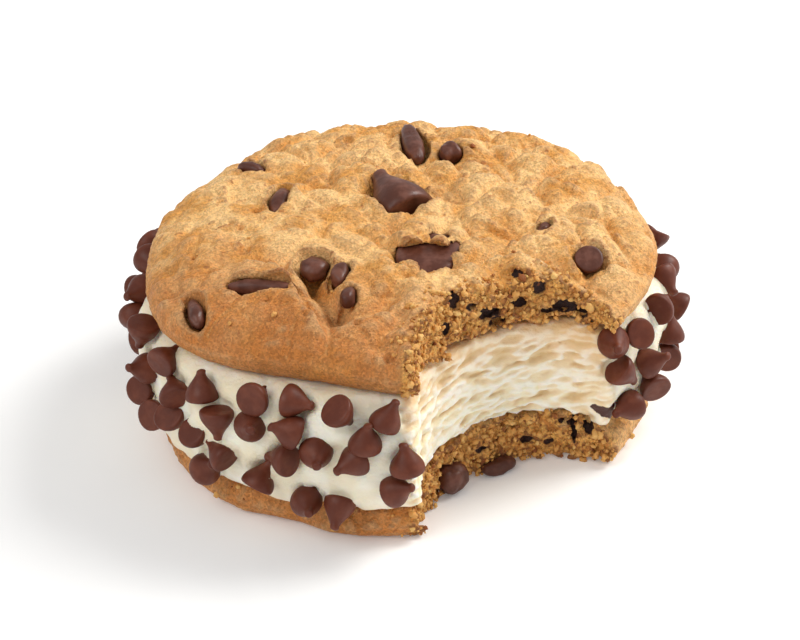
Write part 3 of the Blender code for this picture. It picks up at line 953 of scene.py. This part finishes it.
def baked_chips(names):
    """The chips baked into one cookie, as one set of points and faces."""
    shapes = []
    for name in names:
        rng = np.random.default_rng(100 + BAKED_CHIP_NODES.index(name))
        kind, sizes, heading, nose, roll, offset = BAKED_LOOKS[name]
        low, high = (np.array(corner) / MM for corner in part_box(name))
        if kind == "drop":
            made = lying_drop(rng, *sizes)
        else:
            made = chunk(rng, sizes, FLATNESS[kind], 0.20 if kind == "chunk" else 0.03)
        shapes.append(headed(made, heading, nose, roll, (low + high) / 2 + np.array(offset)))
    return joined(shapes)


# ---------------------------------------------------------------- the ice cream


CORNER_RADIUS = 1.5  # of the ice cream's outward edges
# Where chocolate has smeared over the bitten ice cream: x and height along a line, and its
# half width at the line's end.
SMEAR = ((30.2, 10.7), (31.4, 10.2), (32.8, 9.6), (34.2, 8.8))
SMEAR_WIDTH = 1.5


def ridges(places):
    """The wavy ridges that teeth drag across ice cream, about -1 to 1, and how rough they
    are at each place: rougher towards the bottom left."""
    tilted = places.copy()
    tilted[:, 2] -= 0.10 * (places[:, 0] - 18)
    tilted[:, 2] += 0.7 * smooth_noise(places, 7.0, 205) + 0.25 * smooth_noise(places, 2.6, 206)
    long = tilted * np.array([0.28, 0.28, 1.0], np.float32)
    main = 1 - 2.6 * np.abs(smooth_noise(long, 1.45, 211))
    fine = smooth_noise(tilted * np.array([0.5, 0.5, 1.0], np.float32), 0.8, 213)
    calm = step_up(places[:, 2], 19, 26) + 0.6 * step_up(places[:, 0], 24, 32)
    rough = 1 - 0.6 * np.clip(calm, 0, 1)
    return np.clip(main + 0.75 * fine, -1.2, 1.2), rough


def smear(places):
    """1 where chocolate has smeared over the bitten ice cream."""
    line = smooth_line(SMEAR)
    away = np.linalg.norm(places[:, None, [0, 2]] - line[None], axis=2)
    width = SMEAR_WIDTH * (0.4 + 0.6 * away.argmin(axis=1) / (len(line) - 1))
    away = away.min(axis=1) + 0.3 * smooth_noise(places, 1.3, 221) + 0.15 * smooth_noise(places, 0.7, 222)
    return (1 - step_up(away / width, 0.7, 1.1)) * (np.abs(bite_depth(places)) < 4)


def sculpt_ice_cream(side, chips):
    points, faces = surface_of(["ice_cream"])
    space = Volume("ice_cream", points)
    solid = space.distances(points, faces)
    chip = space.distances(*chips)
    near = (chip < 1.4) & (solid < 4)
    places = space.places(near)
    azimuth = np.arctan2(places[:, 1], places[:, 0])
    out = np.hypot(places[:, 0], places[:, 1]) - side_radius(side, azimuth, places[:, 2])
    in_bite = bite_depth(places) < 0
    filling = np.where(in_bite, 9.0, np.maximum(chip[near] - 1.0, out))
    solid[near] = np.minimum(solid[near], filling)
    solid = space.rounded(solid, CORNER_RADIUS)
    foot = np.maximum(chip[near] + 0.3, out - 1.1)
    solid[near] = np.where(in_bite, solid[near], soft_min(solid[near], foot, 1.3))

    def relief(places):
        wall = 1 - step_up(np.abs(bite_depth(places)), 0.8, 2.6)
        soft = 0.5 * smooth_noise(places, 8.0, 201) + 0.25 * smooth_noise(places, 3.4, 203)
        soft += 0.09 * smooth_noise(places, 1.3, 204)
        bitten = np.zeros(len(places), np.float32)
        on = wall > 0
        ridge, rough = ridges(places[on])
        bitten[on] = 0.55 * ridge * rough + 0.35 * smooth_noise(places[on], 6.0, 215)
        return (1 - wall) * soft + wall * bitten

    add_relief(space, solid, relief, 1.2)
    return space, solid, chip


def finish_ice_cream(space, solid, chip):
    points, faces = space.skin(solid)
    normals = normals_of(points, faces)
    places = points.astype(np.float32)
    wall = 1 - step_up(np.abs(bite_depth(places)), 1.2, 3.0)
    wall = smoothed(wall[:, None], faces, 3)[:, 0]
    ridge, rough = ridges(places)
    frost = smooth_noise(places * np.array([1, 1, 2.0], np.float32), 1.1, 231)
    icy = wall * 0.10 * frost * rough + 0.02 * smooth_noise(places, 0.8, 232)
    points = points + normals * icy[:, None]
    broad = hollowness(points, faces, normals, 30)
    layers = {
        # the material paints hollows warmer and darker, as shade
        "hollow": np.clip(0.5 + 0.9 * broad, 0, 1),
        "bite": wall,
        "ridge": 0.5 + 0.42 * ridge,
        "rough": rough,
        "smear": smear(places),
        "rise": (points[:, 2] - 3) / (ICE_TOP - 3),
        "across": points[:, 0] / 34,
        "chip": np.exp(-np.clip(space.sample(chip, places), 0, 9) / 0.6),
    }
    made = new_object("ice_cream_scoop", points, faces, MATERIALS["ice_cream"], layers)
    hidden = (points[:, 2] > ICE_TOP - 0.8) | (np.hypot(points[:, 0], points[:, 1]) < 37)
    hidden &= (bite_depth(places) > 3.5) & (np.hypot(points[:, 0], points[:, 1]) < 38.5)
    thin_out(made, hidden, 0.1)
    return made


# ---------------------------------------------------------------- materials


class Nodes:
    """A material's nodes, with a short way to add and join them."""

    def __init__(self, name):
        self.material = bpy.data.materials.new(name)
        self.material.use_nodes = True
        self.tree = self.material.node_tree
        self.shader = self.tree.nodes["Principled BSDF"]

    def add(self, kind, **settings):
        node = self.tree.nodes.new(kind)
        for key, value in settings.items():
            setattr(node, key, value)
        return node

    def put(self, socket, value):
        if isinstance(value, bpy.types.NodeSocket):
            self.tree.links.new(value, socket)
        else:
            socket.default_value = value

    def layer(self, name):
        return self.add("ShaderNodeAttribute", attribute_name=name).outputs["Fac"]

    def noise(self, scale, detail=3.0, rough=0.55, stretch=None):
        """Noise whose lumps are about scale mm apart."""
        node = self.add("ShaderNodeTexNoise")
        place = self.add("ShaderNodeTexCoord").outputs["Object"]
        if stretch:
            mapping = self.add("ShaderNodeMapping")
            self.put(mapping.inputs["Vector"], place)
            self.put(mapping.inputs["Scale"], stretch)
            place = mapping.outputs["Vector"]
        self.put(node.inputs["Vector"], place)
        self.put(node.inputs["Scale"], 1 / (scale * MM))
        self.put(node.inputs["Detail"], detail)
        self.put(node.inputs["Roughness"], rough)
        return node.outputs["Fac"]

    def grains(self, scale):
        """Distance to scattered grains about scale mm apart."""
        node = self.add("ShaderNodeTexVoronoi")
        self.put(node.inputs["Vector"], self.add("ShaderNodeTexCoord").outputs["Object"])
        self.put(node.inputs["Scale"], 1 / (scale * MM))
        return node.outputs

    def math(self, operation, a, b=0.0, clamp=False):
        node = self.add("ShaderNodeMath", operation=operation, use_clamp=clamp)
        self.put(node.inputs[0], a)
        self.put(node.inputs[1], b)
        return node.outputs[0]

    def ramp(self, value, low, high, to_low=0.0, to_high=1.0):
        node = self.add("ShaderNodeMapRange", interpolation_type="SMOOTHSTEP")
        keys = ("Value", "From Min", "From Max", "To Min", "To Max")
        for key, number in zip(keys, (value, low, high, to_low, to_high)):
            self.put(node.inputs[key], number)
        return node.outputs["Result"]

    def mix(self, share, a, b, blend="MIX"):
        node = self.add("ShaderNodeMix", data_type="RGBA", blend_type=blend)
        self.put(node.inputs["Factor"], share)
        self.put(node.inputs["A"], (*a, 1) if isinstance(a, tuple) else a)
        self.put(node.inputs["B"], (*b, 1) if isinstance(b, tuple) else b)
        return node.outputs["Result"]

    def bump(self, height, depth, strength=1.0, below=None):
        """Bumps depth mm high."""
        node = self.add("ShaderNodeBump")
        self.put(node.inputs["Height"], height)
        self.put(node.inputs["Distance"], depth * MM)
        self.put(node.inputs["Strength"], strength)
        if below:
            self.put(node.inputs["Normal"], below)
        return node.outputs["Normal"]


PALE_DOUGH = (0.82, 0.51, 0.21)
GOLDEN_DOUGH = (0.64, 0.30, 0.068)
# Browning of the rims from baking, and also painted shade on the front left side
TOASTED_AND_SHADED_DOUGH = (0.46, 0.145, 0.024)
# Brown of well baked dough, also used as painted shade in deep hollows and pits
BROWN_DOUGH_AND_SHADE = (0.28, 0.085, 0.020)
HOLLOW_DOUGH = (0.60, 0.38, 0.17)
# Painted shade inside the pockets of the bitten walls
NEAR_BLACK = (0.030, 0.010, 0.007)


def cookie_material():
    n = Nodes("baked_dough")
    hollow, pit, bite, pocket = (n.layer(k) for k in ("hollow", "pit", "bite", "pocket"))
    rise, toast_and_shade, chip = (n.layer(k) for k in ("rise", "toast_and_shade", "chip"))
    mottle = n.noise(5.0, 3.0, 0.6)
    uneven = n.math("MULTIPLY", n.math("SUBTRACT", mottle, 0.5), 1.3)
    grain = n.noise(0.30, 3.0, 0.7)
    colour = n.mix(n.ramp(n.noise(8.0, 3.0, 0.6), 0.40, 0.62), PALE_DOUGH, GOLDEN_DOUGH)
    # Browner at the rim edges from baking, and towards the front left partly from baking, partly as painted
    # shade.
    edge = n.math("ADD", n.ramp(rise, 0.72, 0.40), uneven)
    browned_and_shaded = n.math("MAXIMUM", n.ramp(edge, 0.25, 1.0, 0.0, 0.35), n.math("ADD", toast_and_shade, uneven), clamp=True)
    colour = n.mix(n.math("MULTIPLY", browned_and_shaded, 0.85), colour, TOASTED_AND_SHADED_DOUGH)
    # Broad hollows turn the paler, greyer beige of less baked dough; the deepest hollows are painted dark
    # brown as shade.
    sunk = n.math("ADD", n.ramp(hollow, 0.52, 0.95), n.math("MULTIPLY", uneven, 0.5))
    colour = n.mix(n.math("MULTIPLY", n.ramp(sunk, 0.0, 0.5), 0.55), colour, HOLLOW_DOUGH)
    colour = n.mix(n.math("MULTIPLY", n.ramp(sunk, 0.5, 1.1), 0.6), colour, BROWN_DOUGH_AND_SHADE)
    # Painted shade: small pits are painted dark brown.
    colour = n.mix(n.math("MULTIPLY", n.ramp(pit, 0.55, 0.95), 0.5), colour, BROWN_DOUGH_AND_SHADE)
    # Painted highlight: small bumps are painted paler.
    colour = n.mix(n.math("MULTIPLY", n.ramp(pit, 0.45, 0.15), 0.25), colour, (0.80, 0.50, 0.20))
    crumb = n.mix(n.ramp(n.noise(1.6, 3.0, 0.6), 0.40, 0.62), (0.80, 0.43, 0.11), (0.52, 0.21, 0.045))
    # Painted shade: pits in the bitten face are painted dark.
    crumb = n.mix(n.math("MULTIPLY", n.ramp(pit, 0.50, 0.85), 0.85), crumb, (0.15, 0.042, 0.010))
    colour = n.mix(bite, colour, crumb)
    # Painted shade: pockets are painted near black.
    colour = n.mix(n.ramp(pocket, 0.25, 0.75), colour, NEAR_BLACK)
    colour = n.mix(n.math("MULTIPLY", n.ramp(chip, 0.45, 0.95), 0.6), colour, (0.16, 0.055, 0.022))
    speck = n.ramp(n.noise(1.1, 1.0, 0.4), 0.70, 0.76)
    colour = n.mix(n.math("MULTIPLY", speck, 0.6), colour, (0.30, 0.09, 0.025))
    sugar = n.grains(0.34)
    sparkle = n.ramp(n.math("FRACT", n.math("MULTIPLY", sugar["Color"], 7.0)), 0.0, 1.0, 0.84, 1.24)
    colour = n.mix(1.0, colour, n.ramp(grain, 0.25, 0.75, 0.91, 1.09), "MULTIPLY")
    colour = n.mix(1.0, colour, sparkle, "MULTIPLY")
    n.put(n.shader.inputs["Base Color"], colour)
    n.put(n.shader.inputs["Roughness"], n.ramp(grain, 0.3, 0.8, 0.72, 0.5))
    n.put(n.shader.inputs["Specular IOR Level"], 0.35)
    n.put(n.shader.inputs["Subsurface Weight"], 0.12)
    n.put(n.shader.inputs["Subsurface Radius"], (1.0, 0.45, 0.18))
    n.put(n.shader.inputs["Subsurface Scale"], 1.2 * MM)
    coarse = n.bump(n.noise(2.4, 3.0, 0.55), 0.4, 0.6)
    sugary = n.bump(sugar["Distance"], 0.12, 0.9, coarse)
    n.put(n.shader.inputs["Normal"], n.bump(grain, 0.22, 1.0, sugary))
    return n.material


def crumb_material():
    n = Nodes("crumb")
    tone = n.math("ADD", n.layer("tone"), n.math("MULTIPLY", n.math("SUBTRACT", n.noise(0.6), 0.5), 0.8))
    # the brown end of tone also carries the painted shade of crumbs in pockets
    colour = n.mix(n.ramp(tone, 0.05, 0.35), BROWN_DOUGH_AND_SHADE, (0.68, 0.34, 0.09))
    colour = n.mix(n.ramp(tone, 0.50, 1.10), colour, (0.82, 0.50, 0.17))
    n.put(n.shader.inputs["Base Color"], colour)
    n.put(n.shader.inputs["Roughness"], 0.65)
    n.put(n.shader.inputs["Specular IOR Level"], 0.35)
    n.put(n.shader.inputs["Subsurface Weight"], 0.15)
    n.put(n.shader.inputs["Subsurface Radius"], (1.0, 0.5, 0.2))
    n.put(n.shader.inputs["Subsurface Scale"], 0.8 * MM)
    n.put(n.shader.inputs["Normal"], n.bump(n.noise(0.3, 3.0, 0.7), 0.15, 0.9))
    return n.material


def ice_cream_material():
    n = Nodes("vanilla")
    hollow, bite, ridge, rough = (n.layer(k) for k in ("hollow", "bite", "ridge", "rough"))
    rise, across, smeared = (n.layer(k) for k in ("rise", "across", "smear"))
    cream, warm, white = (0.90, 0.81, 0.61), (0.80, 0.62, 0.36), (0.96, 0.91, 0.78)
    colour = n.mix(n.ramp(n.noise(6.0, 2.0, 0.5), 0.35, 0.7), cream, white)
    # Painted shade: hollows in the cream are painted warmer and darker.
    colour = n.mix(n.math("MULTIPLY", n.ramp(hollow, 0.5, 0.95), 0.5), colour, warm)
    # Painted shade and warm bounce from the top cookie: the bitten face is darker and warmer towards its top;
    # towards the right it is also the beige of softer, melted cream.
    upper = n.math("MULTIPLY", n.ramp(rise, 0.45, 1.05), 0.75)
    high = n.math("ADD", upper, n.ramp(across, 0.5, 1.0, 0.0, 0.3))
    face = n.mix(n.math("MULTIPLY", high, 0.95, clamp=True), (0.92, 0.80, 0.56), (0.74, 0.47, 0.21))
    # Painted shade: troughs between ridges are painted ochre; the crests are whitened, partly as frost,
    # partly as painted highlight.
    sunk = n.math("MULTIPLY", n.ramp(ridge, 0.55, 0.12), n.math("ADD", n.math("MULTIPLY", rough, 0.7), 0.2))
    face = n.mix(n.math("MULTIPLY", sunk, 0.8), face, (0.70, 0.46, 0.19))
    frost_and_highlight = n.math("MULTIPLY", n.ramp(ridge, 0.55, 0.9), rough)
    face = n.mix(n.math("MULTIPLY", frost_and_highlight, 0.75), face, (0.97, 0.94, 0.86))
    colour = n.mix(bite, colour, face)
    colour = n.mix(n.ramp(smeared, 0.3, 0.7), colour, (0.075, 0.024, 0.017))
    n.put(n.shader.inputs["Base Color"], colour)
    n.put(n.shader.inputs["Roughness"], n.ramp(n.noise(1.5, 2.0, 0.5), 0.3, 0.7, 0.28, 0.5))
    n.put(n.shader.inputs["Specular IOR Level"], 0.45)
    n.put(n.shader.inputs["Subsurface Weight"], n.ramp(smeared, 0.3, 0.7, 0.5, 0.0))
    n.put(n.shader.inputs["Subsurface Radius"], (1.0, 0.75, 0.45))
    n.put(n.shader.inputs["Subsurface Scale"], 1.4 * MM)
    icy = n.bump(n.noise(0.7, 3.0, 0.6, stretch=(1, 1, 1.8)), 0.35, 0.7)
    n.put(n.shader.inputs["Normal"], icy)
    return n.material


def chocolate_material(name, colour, bloom, roughness):
    n = Nodes(name)
    cloud = n.noise(2.6, 3.0, 0.6)
    shade = n.mix(n.ramp(cloud, 0.4, 0.7), colour, bloom)
    n.put(n.shader.inputs["Base Color"], shade)
    n.put(n.shader.inputs["Roughness"], n.ramp(n.noise(1.2, 2.0, 0.5), 0.3, 0.7, roughness, roughness + 0.14))
    n.put(n.shader.inputs["Specular IOR Level"], 0.32)
    n.put(n.shader.inputs["Normal"], n.bump(n.noise(0.9, 2.0, 0.5), 0.08, 0.5))
    return n.material


FLOOR_GLOW = 0.10


def floor_material():
    n = Nodes("studio_floor")
    tone = n.ramp(n.noise(60.0, 2.0, 0.5), 0.3, 0.7, 0.90, 0.92)
    n.put(n.shader.inputs["Base Color"], n.mix(tone, (0.0, 0.0, 0.0), (1.0, 1.0, 1.0)))
    n.put(n.shader.inputs["Emission Color"], (1.0, 1.0, 1.0, 1.0))
    n.put(n.shader.inputs["Emission Strength"], FLOOR_GLOW)
    n.put(n.shader.inputs["Roughness"], 0.9)
    n.put(n.shader.inputs["Specular IOR Level"], 0.1)
    return n.material


MATERIALS = {
    "cookie": cookie_material(),
    "crumb": crumb_material(),
    "ice_cream": ice_cream_material(),
    "chip": chocolate_material("milk_chocolate", (0.105, 0.021, 0.008), (0.150, 0.036, 0.016), 0.42),
    "baked_chip": chocolate_material("melted_chocolate", (0.085, 0.025, 0.014), (0.16, 0.060, 0.040), 0.32),
    "floor": floor_material(),
}


# ---------------------------------------------------------------- the object


def build_object():
    side = side_map()
    chips = mini_chips(side)
    baked_top, baked_bottom = baked_chips(TOP_CHIP_NODES), baked_chips(BOTTOM_CHIP_NODES)

    top, top_wall = finish_cookie("top_cookie_baked", *sculpt_top_cookie(baked_top), TOP_WAIST - 2, False)
    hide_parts("top_cookie")

    bottom, bottom_wall = finish_cookie("bottom_cookie_baked", *sculpt_bottom_cookie(baked_bottom), 5.0, True)
    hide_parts("bottom_cookie")

    ice = finish_ice_cream(*sculpt_ice_cream(side, chips))
    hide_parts("ice_cream")

    minis = new_object("mini_chips", *chips, MATERIALS["chip"])
    minis.data.set_sharp_from_angle(angle=math.radians(55))
    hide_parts(*SIDE_CHIP_NODES)

    baked = new_object("baked_chips", *joined([baked_top, baked_bottom]), MATERIALS["baked_chip"])
    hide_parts(*BAKED_CHIP_NODES)

    top_crumbs = crumbs_on(top_wall, 301, lip_of_bite)
    bottom_crumbs = crumbs_on(bottom_wall, 302, rough_rim)
    tones = np.concatenate([top_crumbs[2], bottom_crumbs[2]])
    both = joined([top_crumbs[:2], bottom_crumbs[:2]])
    crumbs = new_object("crumbs", *both, MATERIALS["crumb"], {"tone": tones})

    for piece in (top, bottom, ice, minis, baked, crumbs):
        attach(piece, BODY)
        print(piece.name, sum(len(face.vertices) - 2 for face in piece.data.polygons), "triangles")


def lip_of_bite(points):
    """A chance of a crumb just above the top bite, and a slight one elsewhere on top."""
    near = 1 - step_up(np.abs(bite_depth(points.astype(np.float32))), 1.5, 4.5)
    return (points[:, 2] > TOP_WAIST + 3) * (0.06 * near + 0.0002)


def rough_rim(points):
    """A chance of a crumb along the lower cookie's rim."""
    out = np.hypot(points[:, 0], points[:, 1])
    band = np.exp(-(((points[:, 2] - 4.6) / 0.9) ** 2)) + 0.12
    return 0.008 * band * (out > 38.5) * (points[:, 2] > 0.8)


# ---------------------------------------------------------------- stage, light, camera


def add_floor():
    reach = 2500.0
    ring = [(reach * math.cos(a), reach * math.sin(a), 0) for a in np.linspace(0, 2 * math.pi, 48, False)]
    floor = new_object("floor", np.array(ring), np.array([range(48)]), MATERIALS["floor"])


def add_light(name, azimuth, elevation, distance, size, power, colour=(1, 1, 1)):
    """A square soft light, size mm wide, that faces the sandwich."""
    light = bpy.data.lights.new(name, "AREA")
    light.shape = "SQUARE"
    light.size = size * MM
    light.energy = power
    light.color = colour
    lamp = bpy.data.objects.new(name, light)
    around, up = math.radians(azimuth), math.radians(elevation)
    way = Vector((math.cos(around) * math.cos(up), math.sin(around) * math.cos(up), math.sin(up)))
    lamp.location = way * distance * MM + Vector((0, 0, 15 * MM))
    lamp.rotation_euler = way.to_track_quat("Z", "Y").to_euler()
    bpy.context.scene.collection.objects.link(lamp)


def add_world(fill):
    """Even white light of strength fill, in front of a background that shows as white."""
    world = bpy.data.worlds.new("studio")
    world.use_nodes = True
    tree = world.node_tree
    shade = tree.nodes["Background"]
    shade.inputs["Color"].default_value = (1, 1, 1, 1)
    seen = tree.nodes.new("ShaderNodeLightPath").outputs["Is Camera Ray"]
    strength = tree.nodes.new("ShaderNodeMapRange")
    tree.links.new(seen, strength.inputs["Value"])
    strength.inputs["To Min"].default_value = fill
    strength.inputs["To Max"].default_value = 1.05
    tree.links.new(strength.outputs["Result"], shade.inputs["Strength"])
    bpy.context.scene.world = world


def add_camera(target, elevation, distance, lens, roll):
    """A camera that looks along +Y and down by elevation, turned by roll about its view."""
    data = bpy.data.cameras.new("camera")
    data.lens = lens
    data.sensor_width = 36
    camera = bpy.data.objects.new("camera", data)
    up = math.radians(elevation)
    back = Vector((0, -math.cos(up), math.sin(up)))
    place = (Vector(target) + back * distance) * MM
    turn = back.to_track_quat("Z", "Y").to_matrix().to_4x4() @ Matrix.Rotation(math.radians(roll), 4, "Z")
    camera.matrix_world = Matrix.Translation(place) @ turn
    bpy.context.scene.collection.objects.link(camera)
    bpy.context.scene.camera = camera


build_object()
add_floor()
add_world(0.53)
add_light("key", -140, 44, 700, 420, 1.6, (1.0, 0.99, 0.97))
add_light("kicker", 20, 42, 700, 380, 4.6, (1.0, 0.99, 0.96))
add_camera((0, 2.0, 14.7), 29.7, 420, 113.3, -2.5)
bpy.context.scene.view_settings.view_transform = "Standard"
